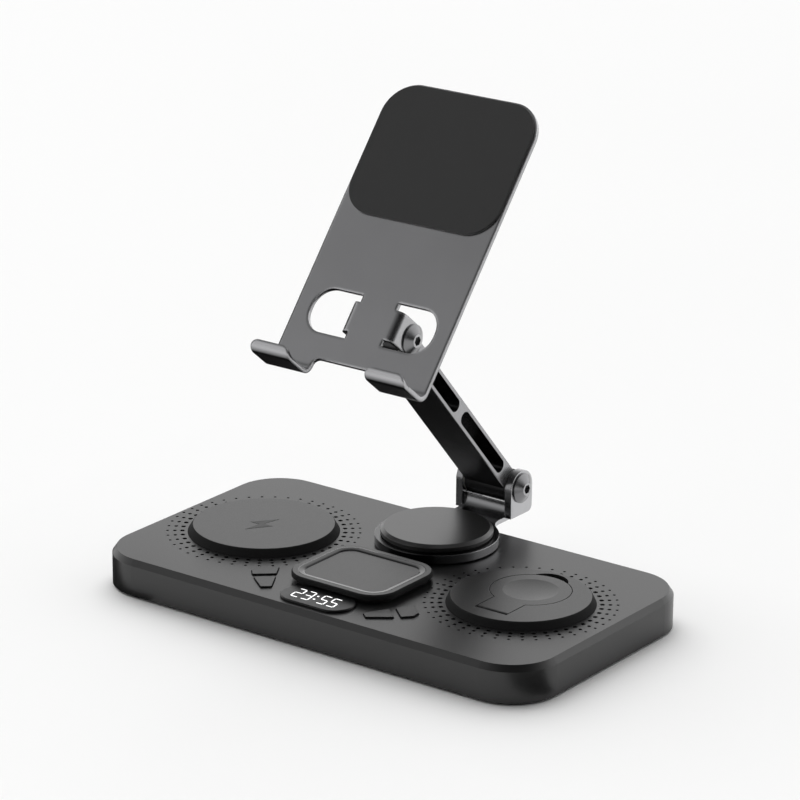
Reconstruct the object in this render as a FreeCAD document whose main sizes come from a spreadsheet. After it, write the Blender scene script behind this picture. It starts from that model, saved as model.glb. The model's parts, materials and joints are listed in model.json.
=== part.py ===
import FreeCAD, Part
import math
import os
import re

import Sketcher
from FreeCAD import Vector

# Desk charging station: a low housing with two round charging pads, an earbud pad, a clock and four buttons,
# and a folding arm on a turntable that carries a phone plate bent from one sheet.
# Frame: millimetres, +X right, -Y front, +Z up, origin on the table under the middle of the housing.

SIZES = {
    # Housing
    "base_length": 200,
    "base_depth": 110,
    "base_top": 15,
    "base_corner": 20,
    "edge_run": 2.3,
    "edge_drop": 1.6,
    "cover_wall": 2.4,
    "cover_roof": 2.4,
    "floor_thick": 2.4,
    "floor_gap": 0.2,
    "mat_thick": 1.6,
    "mat_sunk": 0.8,
    "mat_margin": 6,
    "mat_gap": 0.2,
    "screw_inset": 14,
    "screw_shank": 1.3,
    "screw_head": 2.8,
    "screw_head_thick": 0.8,
    "screw_grip": 6,
    "screw_gap": 0.2,
    "boss_radius": 3.5,
    "ballast_length": 150,
    "ballast_depth": 84,
    "ballast_thick": 2,
    "ballast_corner": 8,
    "ballast_gap": 0.5,
    # Board and what it carries
    "post_height": 4.6,
    "post_radius": 2.2,
    "post_inset": 4,
    "board_thick": 1.6,
    "board_length": 92,
    "board_depth": 41,
    "board_gap": 1.2,
    "board_strip": 18,
    "switch_side": 4.5,
    "switch_thick": 1.4,
    "chip_side": 6,
    "chip_thick": 1,
    "chip_pitch": 11,
    "display_length": 22,
    "display_depth": 9.5,
    # Power inlet in the rear wall
    "usb_width": 9,
    "usb_height": 3.2,
    "usb_length": 7.4,
    "usb_wall": 0.35,
    "usb_mouth": 5.8,
    "usb_tongue_width": 6.4,
    "usb_tongue_thick": 0.7,
    "usb_tongue_reach": 4.6,
    "usb_gap": 0.25,
    "usb_recess": 0.3,
    # Round charging pads
    "pad_spacing": 120,
    "left_top_radius": 27.5,
    "left_foot_radius": 29.2,
    "watch_top_radius": 26.3,
    "watch_foot_radius": 27.7,
    "pad_rise": 3.1,
    "pad_bevel": 0.35,
    "pad_skin": 1.6,
    "pad_spigot": 25.8,
    "pad_spigot_depth": 3.6,
    "pad_spigot_wall": 1.8,
    "pad_fit": 0.1,
    "coil_inner": 8,
    "coil_gap": 0.9,
    "coil_thick": 1.4,
    "ferrite_thick": 1,
    # Rings of small blind holes, measured out from the foot of each pad
    "dot_inner_ring": 2,
    "dot_middle_ring": 4.9,
    "dot_outer_ring": 7.7,
    "dot_large": 1,
    "dot_medium": 0.8,
    "dot_small": 0.62,
    "dot_depth": 0.8,
    "dot_count": 45,
    "dot_phase": 1.7,
    # Watch flap in the right pad
    "flap_radius": 15,
    "flap_offset": 6.2,
    "flap_thick": 3.4,
    "flap_gap": 0.3,
    "tab_width": 13.4,
    "tab_reach": 25.4,
    "notch_radius": 8,
    "notch_reach": 2.9,
    "dish_radius": 10.4,
    "dish_flat": 5.2,
    "dish_depth": 0.5,
    "dish_round": 100,
    "flap_pin_radius": 0.8,
    "flap_pin_seat": 4,
    "flap_cavity": 13.2,
    "flap_roof": 0.8,
    "flap_cover_thick": 0.8,
    "flap_cover_gap": 0.1,
    "flap_coil_thick": 1.2,
    "flap_coil_inner": 6,
    "magnet_radius": 5,
    # Earbud pad
    "bud_length": 46,
    "bud_depth": 40,
    "bud_corner": 10.5,
    "bud_rise": 3.7,
    "bud_flange": 2,
    "bud_step": 1.8,
    "bud_rim": 3.6,
    "bud_tray": 0.6,
    "bud_slope_run": 1.2,
    "bud_slope_drop": 0.25,
    "bud_skin": 1.2,
    "bud_bevel": 0.5,
    "bud_spigot_inset": 5.5,
    "bud_spigot_depth": 3.2,
    "bud_spigot_wall": 1.6,
    "bud_fit": 0.1,
    "bud_coil_inner": 5,
    "bud_coil_gap": 0.5,
    # Clock lens
    "lens_length": 31,
    "lens_depth": 16,
    "lens_margin": 3.4,
    "lens_tuck": 1.4,
    "lens_rise": 1,
    "lens_step": 1.2,
    "lens_bevel": 0.3,
    "lens_fit": 0.1,
    "stadium_flat": 0.05,
    # Buttons, on a ray from the middle of each round pad
    "button_bearing": 48.7,
    "button_shift": 2.1,
    "button_rear_near": 39.2,
    "button_rear_far": 46.2,
    "button_rear_half": 4.4,
    "button_rear_flare": 1.5,
    "button_rear_cut": 2.4,
    "button_front_near": 48.9,
    "button_front_far": 58.8,
    "button_front_half": 4.05,
    "button_tip_half": 1.95,
    "button_rise": 0.6,
    "button_round": 0.5,
    "button_gap": 0.3,
    "button_flange": 0.8,
    "button_flange_thick": 1,
    "button_drop": 0.2,
    # Turntable
    "swivel_gap": 3.3,
    "ring_radius": 23.7,
    "ring_thick": 3.4,
    "cap_radius": 21.5,
    "cap_top_radius": 20.2,
    "cap_foot": 20.6,
    "cap_foot_rise": 0.6,
    "cap_bevel_drop": 1.1,
    "cap_rise": 3.1,
    "cap_cavity": 16,
    "cap_roof": 1.3,
    "axle_radius": 6,
    "axle_head": 11,
    "axle_head_thick": 1.5,
    "bush_wall": 2,
    "bush_flange": 12,
    "bush_flange_thick": 0.5,
    "bush_below": 0.8,
    "bush_fit": 0.1,
    "run_clear": 0.05,
    "swivel_washer_radius": 10,
    "swivel_washer_thick": 0.8,
    "nut_flats": 16,
    "nut_thick": 2.6,
    "axle_tail": 0.4,
    # Lower clevis on the turntable
    "hinge_back": 37.3,
    "hinge_z": 29.3,
    "ear_radius": 7,
    "ear_thick": 3,
    "ear_bottom": 18.4,
    "ear_corner": 2.5,
    "neck_width": 21,
    "neck_thick": 1.8,
    "neck_lap": 2,
    "neck_fillet": 9.5,
    "web_setback": 2,
    "web_top": 23.8,
    "web_rear_top": 22.4,
    "sweep_radius": 4.4,
    "hub_clear": 0.6,
    # Arm
    "arm_length": 105,
    "arm_angle": 47.8,
    "arm_width": 19,
    "arm_thick": 8.4,
    "arm_edge": 0.35,
    "hub_radius": 6.4,
    "slot_width": 5.4,
    "slot_start": 12.4,
    "slot_split": 52,
    "slot_web": 4.4,
    "slot_end": 92.6,
    # Hinge hardware
    "pin_radius": 3.2,
    "pin_fit": 0.02,
    "shim_thick": 0.4,
    "shim_radius": 6.2,
    "head_radius": 5.9,
    "head_rise": 2.6,
    "head_brim": 0.6,
    "head_tip": 2.5,
    "socket_flats": 3.2,
    "socket_depth": 1.4,
    # Phone plate, bent from one sheet
    "sheet": 1.8,
    "plate_width": 69.4,
    "plate_top": 94,
    "plate_corner": 13.5,
    "plate_recline": 39.4,
    "plate_offset": 11.4,
    "notch_drop": 18.8,
    "notch_corner": 2.6,
    "hook_width": 17.4,
    "hook_drop": 26,
    "hook_reach": 15.2,
    "hook_lip": 4.2,
    "hook_bend": 2.6,
    "hook_flare": 12,
    "lip_bend": 2.4,
    "lip_corner": 3.2,
    "lip_trim": 1,
    "fold_lap": 0.5,
    "fold_bend": 1.2,
    "lug_width": 12,
    "lug_margin": 6.3,
    "lug_corner": 5.5,
    "window_height": 17.8,
    "window_reach": 28,
    "window_round": 8.2,
    "relief": 0.8,
    # Silicone grip pad on the plate
    "grip_length": 53.6,
    "grip_margin": 0.8,
    "grip_corner": 12.7,
    "grip_thick": 1,
}

# Places that follow from the sizes
PLACES = {
    "cover_bottom": "mat_thick - mat_sunk",
    "roof_bottom": "base_top - cover_roof",
    "floor_top": "cover_bottom + floor_thick",
    "screw_x": "base_length / 2 - screw_inset",
    "screw_y": "base_depth / 2 - screw_inset",
    "board_bottom": "floor_top + post_height",
    "board_top": "board_bottom + board_thick",
    "board_front": "base_depth / 2 - cover_wall - board_gap",
    "board_back": "board_front - board_depth",
    "strip_back": "base_depth / 2 - usb_recess - usb_length",
    "usb_x": "-(board_length - board_strip) / 2",
    "usb_z": "board_top + usb_height / 2",
    "pad_x": "pad_spacing / 2",
    "pad_under": "base_top + pad_rise - pad_skin",
    "pad_cavity": "pad_spigot - pad_spigot_wall",
    "flap_top": "pad_rise",
    "flap_bottom": "pad_rise - flap_thick",
    "flap_axis_y": "flap_offset - tab_reach + flap_thick / 2",
    "flap_axis_z": "pad_rise - flap_thick / 2",
    "flap_roof_z": "flap_top - flap_roof - dish_depth",
    "bud_y": "lens_y + lens_depth / 2 - lens_tuck + bud_depth / 2",
    "bud_top": "base_top + bud_rise",
    "bud_under": "bud_top - bud_tray - bud_skin",
    "bud_cavity": "bud_depth / 2 - bud_spigot_inset - bud_spigot_wall",
    "lens_y": "lens_margin + lens_depth / 2 - base_depth / 2",
    "swivel_y": "bud_y + bud_depth / 2 + swivel_gap + ring_radius",
    "hinge_y": "swivel_y + hinge_back",
    "ring_bottom": "base_top + bush_flange_thick + run_clear",
    "ring_top": "ring_bottom + ring_thick",
    "bush_bore": "axle_radius + run_clear",
    "bush_bottom": "roof_bottom - bush_below",
    "washer_bottom": "bush_bottom - run_clear - swivel_washer_thick",
    "nut_bottom": "washer_bottom - nut_thick",
    "ear_in": "arm_width / 2 + shim_thick + 2 * run_clear",
    "ear_out": "ear_in + ear_thick",
    "ear_front": "hinge_y - ear_radius",
    "ear_rear": "hinge_y + ear_radius",
    "web_front": "ear_front + web_setback",
    "saddle_radius": "hub_radius + hub_clear",
    "pin_bore": "pin_radius + run_clear",
    "upper_y": "hinge_y - arm_length * cos(arm_angle)",
    "upper_z": "hinge_z + arm_length * sin(arm_angle)",
    "lug_out": "ear_in + sheet",
    "fold_start": "lug_out - fold_bend - sheet",
    "bend_outer": "hook_bend + sheet",
    "leg_end": "hook_drop - bend_outer",
    "hook_inner_x": "plate_width / 2 - hook_width",
    "lip_top_reach": "hook_reach + hook_lip * tan(hook_flare)",
    "lip_across": "sheet / cos(hook_flare)",
}

doc = FreeCAD.newDocument("charging_station")
sheet = doc.addObject("Spreadsheet::Sheet", "sizes")
for row, (size_name, size) in enumerate(SIZES.items(), 1):
    sheet.set(f"A{row}", size_name)
    sheet.set(f"B{row}", str(size))
    sheet.setAlias(f"B{row}", size_name)
doc.recompute()

NODES = {}
WORD = re.compile(r"[a-z][a-z_]+")


def ref(text):
    """Returns an expression in which each size is a reference to the sheet and each place is written out."""

    def swap(match):
        word = match.group(0)
        if word in SIZES:
            return f"sizes.{word}"
        if word in PLACES:
            return f"({ref(PLACES[word])})"
        return word

    return WORD.sub(swap, str(text))


def value(text):
    """Returns an expression's value in millimetres or degrees."""
    return float(sheet.evalExpression(ref(text)))


def placement(at, axis="0; 0; 1", turn="0"):
    x, y, z = (ref(part) for part in at)
    return f"placement(vector({x}; {y}; {z}); rotation(vector({axis}); {ref(turn)}))"


def node(thing, label):
    """Names a finished sub-part."""
    thing.Label = label
    NODES[label] = thing
    return thing


class Piece:
    """A body with short names for the features that the station's pieces are made of."""

    def __init__(self, label, is_node=True):
        self.body = doc.addObject("PartDesign::Body", label)
        if is_node:
            node(self.body, label)

    def place(self, at, axis="0; 0; 1", turn="0"):
        self.body.setExpression("Placement", placement(at, axis, turn))
        doc.recompute()
        return self

    def sketch(self, plane="XY_Plane", at=("0", "0", "0"), turn="0"):
        """Adds a sketch on one of the body's own planes, moved and turned within that plane's frame."""
        sketch = self.body.newObject("Sketcher::SketchObject", "sketch")
        datum = next(item for item in self.body.Origin.OriginFeatures if item.Role == plane)
        sketch.AttachmentSupport = [(datum, "")]
        sketch.MapMode = "FlatFace"
        sketch.setExpression("AttachmentOffset", placement(at, turn=turn))
        return sketch

    def add(self, kind, profile):
        feature = self.body.newObject(f"PartDesign::{kind}", kind.lower())
        feature.Profile = profile
        return feature

    def finish(self, feature):
        doc.recompute()
        if not feature.Shape.isValid():
            raise ValueError(f"{self.body.Label}: {feature.Label} is not valid")
        return feature

    def pad(self, profile, length, reverse=False):
        feature = self.add("Pad", profile)
        feature.setExpression("Length", ref(length))
        feature.Reversed = reverse
        return self.finish(feature)

    def cut(self, profile, depth, reverse=False):
        """Cuts a pocket against the sketch's normal, or along it when reversed."""
        before = self.body.Shape.Volume
        feature = self.add("Pocket", profile)
        feature.setExpression("Length", ref(depth))
        feature.Reversed = reverse
        self.finish(feature)
        if self.body.Shape.Volume >= before:
            raise ValueError(f"{self.body.Label}: a pocket cuts nothing")
        return feature

    def turn(self, kind, profile):
        feature = self.add(kind, profile)
        feature.ReferenceAxis = (profile, ["V_Axis"])
        feature.Angle = 360
        return self.finish(feature)

    def mirror(self, feature, plane="YZ_Plane"):
        mirrored = self.body.newObject("PartDesign::Mirrored", "mirrored")
        mirrored.Originals = [feature]
        datum = next(item for item in self.body.Origin.OriginFeatures if item.Role == plane)
        mirrored.MirrorPlane = (datum, [""])
        self.body.Tip = mirrored
        return self.finish(mirrored)

    def edges(self, test):
        """Lists the edges of the last feature whose middle point and direction pass the test."""
        names = []
        for number, edge in enumerate(self.body.Tip.Shape.Edges, 1):
            middle = edge.valueAt((edge.FirstParameter + edge.LastParameter) / 2)
            along = edge.tangentAt((edge.FirstParameter + edge.LastParameter) / 2)
            if test(middle, along):
                names.append(f"Edge{number}")
        if not names:
            raise ValueError(f"{self.body.Label}: no edge to dress")
        return names

    def fillet(self, test, radius):
        base = (self.body.Tip, self.edges(test))
        feature = self.body.newObject("PartDesign::Fillet", "fillet")
        feature.Base = base
        feature.setExpression("Radius", ref(radius))
        self.body.Tip = feature
        return self.finish(feature)

    def chamfer(self, test, size, second=None):
        base = (self.body.Tip, self.edges(test))
        feature = self.body.newObject("PartDesign::Chamfer", "chamfer")
        feature.Base = base
        feature.setExpression("Size", ref(size))
        if second:
            feature.ChamferType = "Two distances"
            feature.setExpression("Size2", ref(second))
        self.body.Tip = feature
        return self.finish(feature)


def bind(sketch, constraint, text):
    sketch.setExpression(f"Constraints[{constraint}]", ref(text))


def pin_point(sketch, geometry, point, x, y):
    """Ties a point of the sketch to its two coordinates."""
    for kind, text in (("DistanceX", x), ("DistanceY", y)):
        rule = Sketcher.Constraint(kind, -1, 1, geometry, point, value(text))
        bind(sketch, sketch.addConstraint(rule), text)


def circle(sketch, radius, x="0", y="0"):
    middle = Vector(value(x), value(y))
    ring = sketch.addGeometry(Part.Circle(middle, Vector(0, 0, 1), value(radius)))
    bind(sketch, sketch.addConstraint(Sketcher.Constraint("Radius", ring, value(radius))), radius)
    pin_point(sketch, ring, 3, x, y)
    return sketch


def corner_arc(before, corner, after, radius):
    """Returns the start, the end and the middle of the arc that rounds a corner."""
    back = (before - corner).normalize()
    ahead = (after - corner).normalize()
    half = back.getAngle(ahead) / 2
    inward = (back + ahead).normalize()
    run = radius / math.tan(half)
    middle = corner + inward * (radius / math.sin(half) - radius)
    return corner + back * run, corner + ahead * run, middle


def outline(sketch, corners):
    """Draws a closed outline. Each corner is (x, y) or (x, y, rounding radius)."""
    points = [Vector(value(corner[0]), value(corner[1])) for corner in corners]
    count = len(points)
    ends = []
    for index, corner in enumerate(corners):
        here = points[index]
        if len(corner) == 2:
            ends.append((here, here, None))
        else:
            ends.append(corner_arc(points[index - 1], here, points[(index + 1) % count], value(corner[2])))
    lines = []
    for index in range(count):
        side = Part.LineSegment(ends[index][1], ends[(index + 1) % count][0])
        lines.append(sketch.addGeometry(side))
    for index, corner in enumerate(corners):
        before, after = lines[index - 1], lines[index]
        if len(corner) == 2:
            sketch.addConstraint(Sketcher.Constraint("Coincident", before, 2, after, 1))
            pin_point(sketch, after, 1, corner[0], corner[1])
            continue
        start, end, middle = ends[index]
        first = 1 if (middle - start).cross(end - middle).z > 0 else 2
        arc = Part.Arc(start, middle, end) if first == 1 else Part.Arc(end, middle, start)
        arc = sketch.addGeometry(arc)
        sketch.addConstraint(Sketcher.Constraint("Tangent", before, 2, arc, first))
        sketch.addConstraint(Sketcher.Constraint("Tangent", arc, 3 - first, after, 1))
        rule = Sketcher.Constraint("Radius", arc, value(corner[2]))
        bind(sketch, sketch.addConstraint(rule), corner[2])
        tip = sketch.addGeometry(Part.Point(points[index]), True)
        sketch.addConstraint(Sketcher.Constraint("PointOnObject", tip, 1, before))
        sketch.addConstraint(Sketcher.Constraint("PointOnObject", tip, 1, after))
        pin_point(sketch, tip, 1, corner[0], corner[1])
    return sketch


def rectangle(length, depth, x="0", y="0", corner=None):
    """Corners of a rectangle about (x, y), rounded if a corner radius is given."""
    corners = []
    for side, end in (("-", "-"), ("+", "-"), ("+", "+"), ("-", "+")):
        point = (f"({x}) {side} ({length}) / 2", f"({y}) {end} ({depth}) / 2")
        corners.append(point + (corner,) if corner else point)
    return corners


def stadium(length, depth, x="0", y="0"):
    return rectangle(length, depth, x, y, f"({depth}) / 2 - stadium_flat")


def hexagon(flats):
    corners = []
    for angle in range(30, 390, 60):
        corners.append((f"{flats} / sqrt(3) * cos({angle})", f"{flats} / sqrt(3) * sin({angle})"))
    return corners


def turned(label, profile, at=("0", "0", "0"), turn="0", is_node=True):
    """A turned piece: (radius, height) points spun round its own axis, which turn tips towards +X."""
    piece = Piece(label, is_node)
    piece.turn("Revolution", outline(piece.sketch("XZ_Plane"), profile))
    return piece.place(at, "0; 1; 0", turn)


def tube(inner, outer, low, high):
    """Profile of a plain ring or disc."""
    return [(inner, low), (outer, low), (outer, high), (inner, high)]


def block(name, corners, low, height):
    """A plain upright prism that is part of a group."""
    piece = Piece(name, is_node=False)
    piece.pad(outline(piece.sketch(at=("0", "0", low)), corners), height)
    return piece.body


def group(label, members):
    """Several like solids under one name."""
    compound = doc.addObject("Part::Compound", label)
    compound.Links = members
    return node(compound, label)


SIGNS = ("-", "")
FOUR = [(side, end) for side in SIGNS for end in SIGNS]


def button_outlines(side, gap="0"):
    """Outlines of the rear and front button of one side, grown by a gap, with x along the ray from the pad."""
    near = f"button_rear_near - ({gap})"
    far = f"button_rear_far + ({gap})"
    half = f"button_rear_half + ({gap})"
    rear = [
        (far, f"-({half})"),
        (far, half),
        (f"{near} + button_rear_cut", half),
        (near, f"{half} - button_rear_cut"),
        (near, f"-({half}) - button_rear_flare"),
    ]
    near = f"button_front_near - ({gap})"
    far = f"button_front_far + ({gap})"
    front = [
        (near, f"-(button_front_half + ({gap}))"),
        (far, f"-(button_tip_half + ({gap}))"),
        (far, f"button_tip_half + ({gap})"),
        (near, f"button_front_half + ({gap})"),
    ]
    hand = "1" if side == "right" else "-1"
    placed = {}
    for name, corners in {"rear": rear, "front": front}.items():
        placed[name] = [(x, f"{hand} * ({y} + button_shift)", "button_round") for x, y in corners]
    return placed


BUTTON_RAYS = {"left": ("-pad_x", "-button_bearing"), "right": ("pad_x", "180 + button_bearing")}


DOT_RINGS = [
    ("dot_inner_ring", "dot_large"),
    ("dot_middle_ring", "dot_medium"),
    ("dot_outer_ring", "dot_small"),
]


def make_dots():
    """Six-sided plugs that leave the rings of small blind holes, as one tool that cuts in one step."""
    depth = value("dot_depth")
    count = int(value("dot_count"))
    up = Vector(0, 0, 1)
    plugs = []
    for pad, x in (("left", "-pad_x"), ("watch", "pad_x")):
        middle = Vector(value(x), 0, value("base_top") - depth)
        for ring, size in DOT_RINGS:
            first = middle + Vector(value(f"{pad}_foot_radius + {ring}"), 0, 0)
            corners = []
            for turn in range(0, 420, 60):
                angle = math.radians(turn)
                corners.append(first + Vector(math.cos(angle), math.sin(angle), 0) * value(size))
            plug = Part.Face(Part.makePolygon(corners)).extrude(up * 2 * depth)
            for step in range(count):
                copy = plug.copy()
                copy.rotate(middle, up, value("dot_phase") + 360 * step / count)
                plugs.append(copy)
    tool = doc.addObject("Part::Feature", "dots")
    tool.Shape = Part.makeCompound(plugs)
    return tool


def make_top_cover():
    cover = Piece("cover_shell", is_node=False)
    plan = rectangle("base_length", "base_depth", corner="base_corner")
    cover.pad(outline(cover.sketch(at=("0", "0", "cover_bottom")), plan), "base_top - cover_bottom")
    top = value("base_top")
    cover.chamfer(lambda middle, along: abs(middle.z - top) < 1e-4, "edge_run", "edge_drop")
    room = rectangle(
        "base_length - 2 * cover_wall", "base_depth - 2 * cover_wall", corner="base_corner - cover_wall"
    )
    cover.cut(
        outline(cover.sketch(at=("0", "0", "cover_bottom")), room), "roof_bottom - cover_bottom", reverse=True
    )
    bosses = cover.sketch(at=("0", "0", "floor_top"))
    pilots = cover.sketch(at=("0", "0", "floor_top"))
    for side, end in FOUR:
        circle(bosses, "boss_radius", f"{side}screw_x", f"{end}screw_y")
        circle(pilots, "screw_shank", f"{side}screw_x", f"{end}screw_y")
    cover.pad(bosses, "roof_bottom - floor_top")
    cover.cut(pilots, "screw_grip + screw_gap", reverse=True)
    holes = cover.sketch(at=("0", "0", "base_top"))
    for side in SIGNS:
        circle(holes, "pad_spigot + pad_fit", f"{side}pad_x")
    circle(holes, "axle_radius + run_clear + bush_wall + bush_fit", "0", "swivel_y")
    inset = "bud_spigot_inset - bud_fit"
    outline(
        holes,
        rectangle(
            f"bud_length - 2 * ({inset})",
            f"bud_depth - 2 * ({inset})",
            "0",
            "bud_y",
            f"bud_corner - ({inset})",
        ),
    )
    step = "2 * (lens_step - lens_fit)"
    outline(holes, stadium(f"lens_length - {step}", f"lens_depth - {step}", "0", "lens_y"))
    cover.cut(holes, "cover_roof")
    for side, (x, bearing) in BUTTON_RAYS.items():
        for shape in button_outlines(side, "button_gap").values():
            cover.cut(outline(cover.sketch(at=(x, "0", "base_top"), turn=bearing), shape), "cover_roof")
    mouth = stadium("usb_width + 2 * usb_gap", "usb_height + 2 * usb_gap", "usb_x", "usb_z")
    cover.cut(outline(cover.sketch("XZ_Plane", at=("0", "0", "-base_depth / 2")), mouth), "cover_wall", True)
    dotted = doc.addObject("Part::Cut", "top_cover")
    dotted.Base = cover.body
    dotted.Tool = make_dots()
    dotted.Refine = False
    node(dotted, "top_cover")


def make_floor():
    inset = "2 * (cover_wall + floor_gap)"
    floor = Piece("bottom_plate")
    plan = rectangle(
        f"base_length - {inset}", f"base_depth - {inset}", corner="base_corner - cover_wall - floor_gap"
    )
    floor.pad(outline(floor.sketch(at=("0", "0", "cover_bottom")), plan), "floor_thick")
    posts = floor.sketch(at=("0", "0", "floor_top"))
    for x, y in POSTS:
        circle(posts, "post_radius", x, y)
    floor.pad(posts, "post_height")
    recess = mat_outline("mat_margin - mat_gap")
    floor.cut(outline(floor.sketch(at=("0", "0", "cover_bottom")), recess), "mat_sunk", reverse=True)
    through = floor.sketch(at=("0", "0", "floor_top"))
    seats = floor.sketch(at=("0", "0", "mat_thick"))
    for side, end in FOUR:
        circle(through, "screw_shank + screw_gap", f"{side}screw_x", f"{end}screw_y")
        circle(seats, "screw_head + screw_gap", f"{side}screw_x", f"{end}screw_y")
    floor.cut(through, "floor_thick")
    floor.cut(seats, "screw_head_thick", reverse=True)
    mat = Piece("base_mat")
    mat.pad(outline(mat.sketch(), mat_outline("mat_margin")), "mat_thick")


def mat_outline(margin):
    inset = f"2 * ({margin})"
    return rectangle(
        f"base_length - {inset}", f"base_depth - {inset}", corner=f"base_corner - ({margin})"
    )


POSTS = [
    ("-board_length / 2 + post_inset", "-board_front + post_inset"),
    ("board_length / 2 - post_inset", "-board_front + post_inset"),
    ("board_length / 2 - post_inset", "-board_back - post_inset"),
    ("usb_x", "strip_back - post_inset"),
]


def make_screws():
    """Four screws that hold the bottom plate to the cover's bosses, with their heads under the mat."""
    profile = [
        ("0", "0"),
        ("screw_head", "0"),
        ("screw_head", "screw_head_thick"),
        ("screw_shank", "screw_head_thick"),
        ("screw_shank", "floor_top - mat_thick + screw_grip"),
        ("0", "floor_top - mat_thick + screw_grip"),
    ]
    screws = []
    for side, end in FOUR:
        screw = turned("screw", profile, (f"{side}screw_x", f"{end}screw_y", "mat_thick"), is_node=False)
        screws.append(screw.body)
    group("housing_screws", screws)


def make_ballast():
    ballast = Piece("ballast_plate")
    plan = rectangle("ballast_length", "ballast_depth", corner="ballast_corner")
    ballast.pad(outline(ballast.sketch(at=("0", "0", "floor_top")), plan), "ballast_thick")
    holes = ballast.sketch(at=("0", "0", "floor_top"))
    for x, y in POSTS:
        circle(holes, "post_radius + ballast_gap", x, y)
    ballast.cut(holes, "ballast_thick", reverse=True)


def make_board():
    board = Piece("main_board")
    left = "-board_length / 2"
    plan = [
        (left, "-board_front"),
        ("board_length / 2", "-board_front"),
        ("board_length / 2", "-board_back"),
        (f"{left} + board_strip", "-board_back"),
        (f"{left} + board_strip", "strip_back"),
        (left, "strip_back"),
    ]
    board.pad(outline(board.sketch(at=("0", "0", "board_bottom")), plan), "board_thick")
    switches = []
    for side, (x, bearing) in BUTTON_RAYS.items():
        across = "button_shift" if side == "right" else "-button_shift"
        for name in ("rear", "front"):
            along = f"(button_{name}_near + button_{name}_far) / 2"
            plan = rectangle("switch_side", "switch_side", along, across)
            switch = block(f"{name}_switch", plan, "0", "switch_thick")
            switch.setExpression("Placement", placement((x, "0", "board_top"), turn=bearing))
            switches.append(switch)
    group("tact_switches", switches)
    chips = []
    for step in ("-1", "0", "1"):
        plan = rectangle("chip_side", "chip_side", f"{step} * chip_pitch", "-board_back - chip_side")
        chips.append(block("chip", plan, "board_top", "chip_thick"))
    group("board_chips", chips)
    display = Piece("display_module")
    plan = rectangle("display_length", "display_depth", "0", "lens_y")
    display.pad(outline(display.sketch(at=("0", "0", "board_top")), plan), "roof_bottom - board_top")


def make_usb_port():
    port = Piece("usb_port")
    face = "-base_depth / 2 + usb_recess"
    shell = stadium("usb_width", "usb_height", "usb_x", "usb_z")
    port.pad(outline(port.sketch("XZ_Plane", at=("0", "0", face)), shell), "usb_length")
    inside = stadium("usb_width - 2 * usb_wall", "usb_height - 2 * usb_wall", "usb_x", "usb_z")
    port.cut(outline(port.sketch("XZ_Plane", at=("0", "0", face)), inside), "usb_mouth", reverse=True)
    tongue = rectangle("usb_tongue_width", "usb_tongue_thick", "usb_x", "usb_z")
    port.pad(
        outline(port.sketch("XZ_Plane", at=("0", "0", f"{face} + usb_mouth")), tongue),
        "usb_tongue_reach",
        reverse=True,
    )


def pad_rim(name):
    """The sloping skirt and bevelled top edge of a round pad."""
    return [
        ("pad_spigot", "0"),
        (f"{name}_foot_radius", "0"),
        (f"{name}_top_radius", "pad_rise - pad_bevel"),
        (f"{name}_top_radius - pad_bevel", "pad_rise"),
        ("0", "pad_rise"),
    ]


def make_left_pad():
    at = ("-pad_x", "0", "base_top")
    hollow = [
        ("0", "pad_rise - pad_skin"),
        ("pad_cavity", "pad_rise - pad_skin"),
        ("pad_cavity", "-pad_spigot_depth"),
        ("pad_spigot", "-pad_spigot_depth"),
    ]
    turned("left_pad", hollow + pad_rim("left"), at)
    under = ("-pad_x", "0", "pad_under")
    turned("left_coil", tube("coil_inner", "pad_cavity - coil_gap", "-coil_thick", "0"), under)
    ferrite = tube("0", "pad_cavity - coil_gap", "-coil_thick - ferrite_thick", "-coil_thick")
    turned("left_ferrite", ferrite, under)


def make_watch_pad():
    at = ("pad_x", "0", "base_top")
    foot = [("0", "-pad_spigot_depth"), ("pad_spigot", "-pad_spigot_depth")]
    pad = turned("watch_pad", foot + pad_rim("watch"), at)
    recess = "flap_thick + flap_gap"
    bowl = pad.sketch(at=("0", "0", "pad_rise"))
    pad.cut(circle(bowl, "flap_radius + flap_gap", "0", "flap_offset"), recess)
    lane_end = "tab_reach + flap_gap"
    lane = rectangle(
        "tab_width + 2 * flap_gap", lane_end, "0", f"flap_offset - ({lane_end}) / 2"
    )
    pad.cut(outline(pad.sketch(at=("0", "0", "pad_rise")), lane), recess)
    notch_y = "flap_offset + flap_radius + flap_gap + notch_reach - notch_radius"
    pad.cut(circle(pad.sketch(at=("0", "0", "pad_rise")), "notch_radius", "0", notch_y), recess)
    half = "(tab_width / 2 + flap_pin_seat)"
    bore = pad.sketch("YZ_Plane", at=("0", "0", half))
    pad.cut(circle(bore, "flap_pin_radius", "flap_axis_y", "flap_axis_z"), f"2 * {half}")
    pin_at = (f"pad_x - {half}", "flap_axis_y", "base_top + flap_axis_z")
    turned("flap_hinge_pin", tube("0", "flap_pin_radius", "0", f"2 * {half}"), pin_at, "90")


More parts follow.
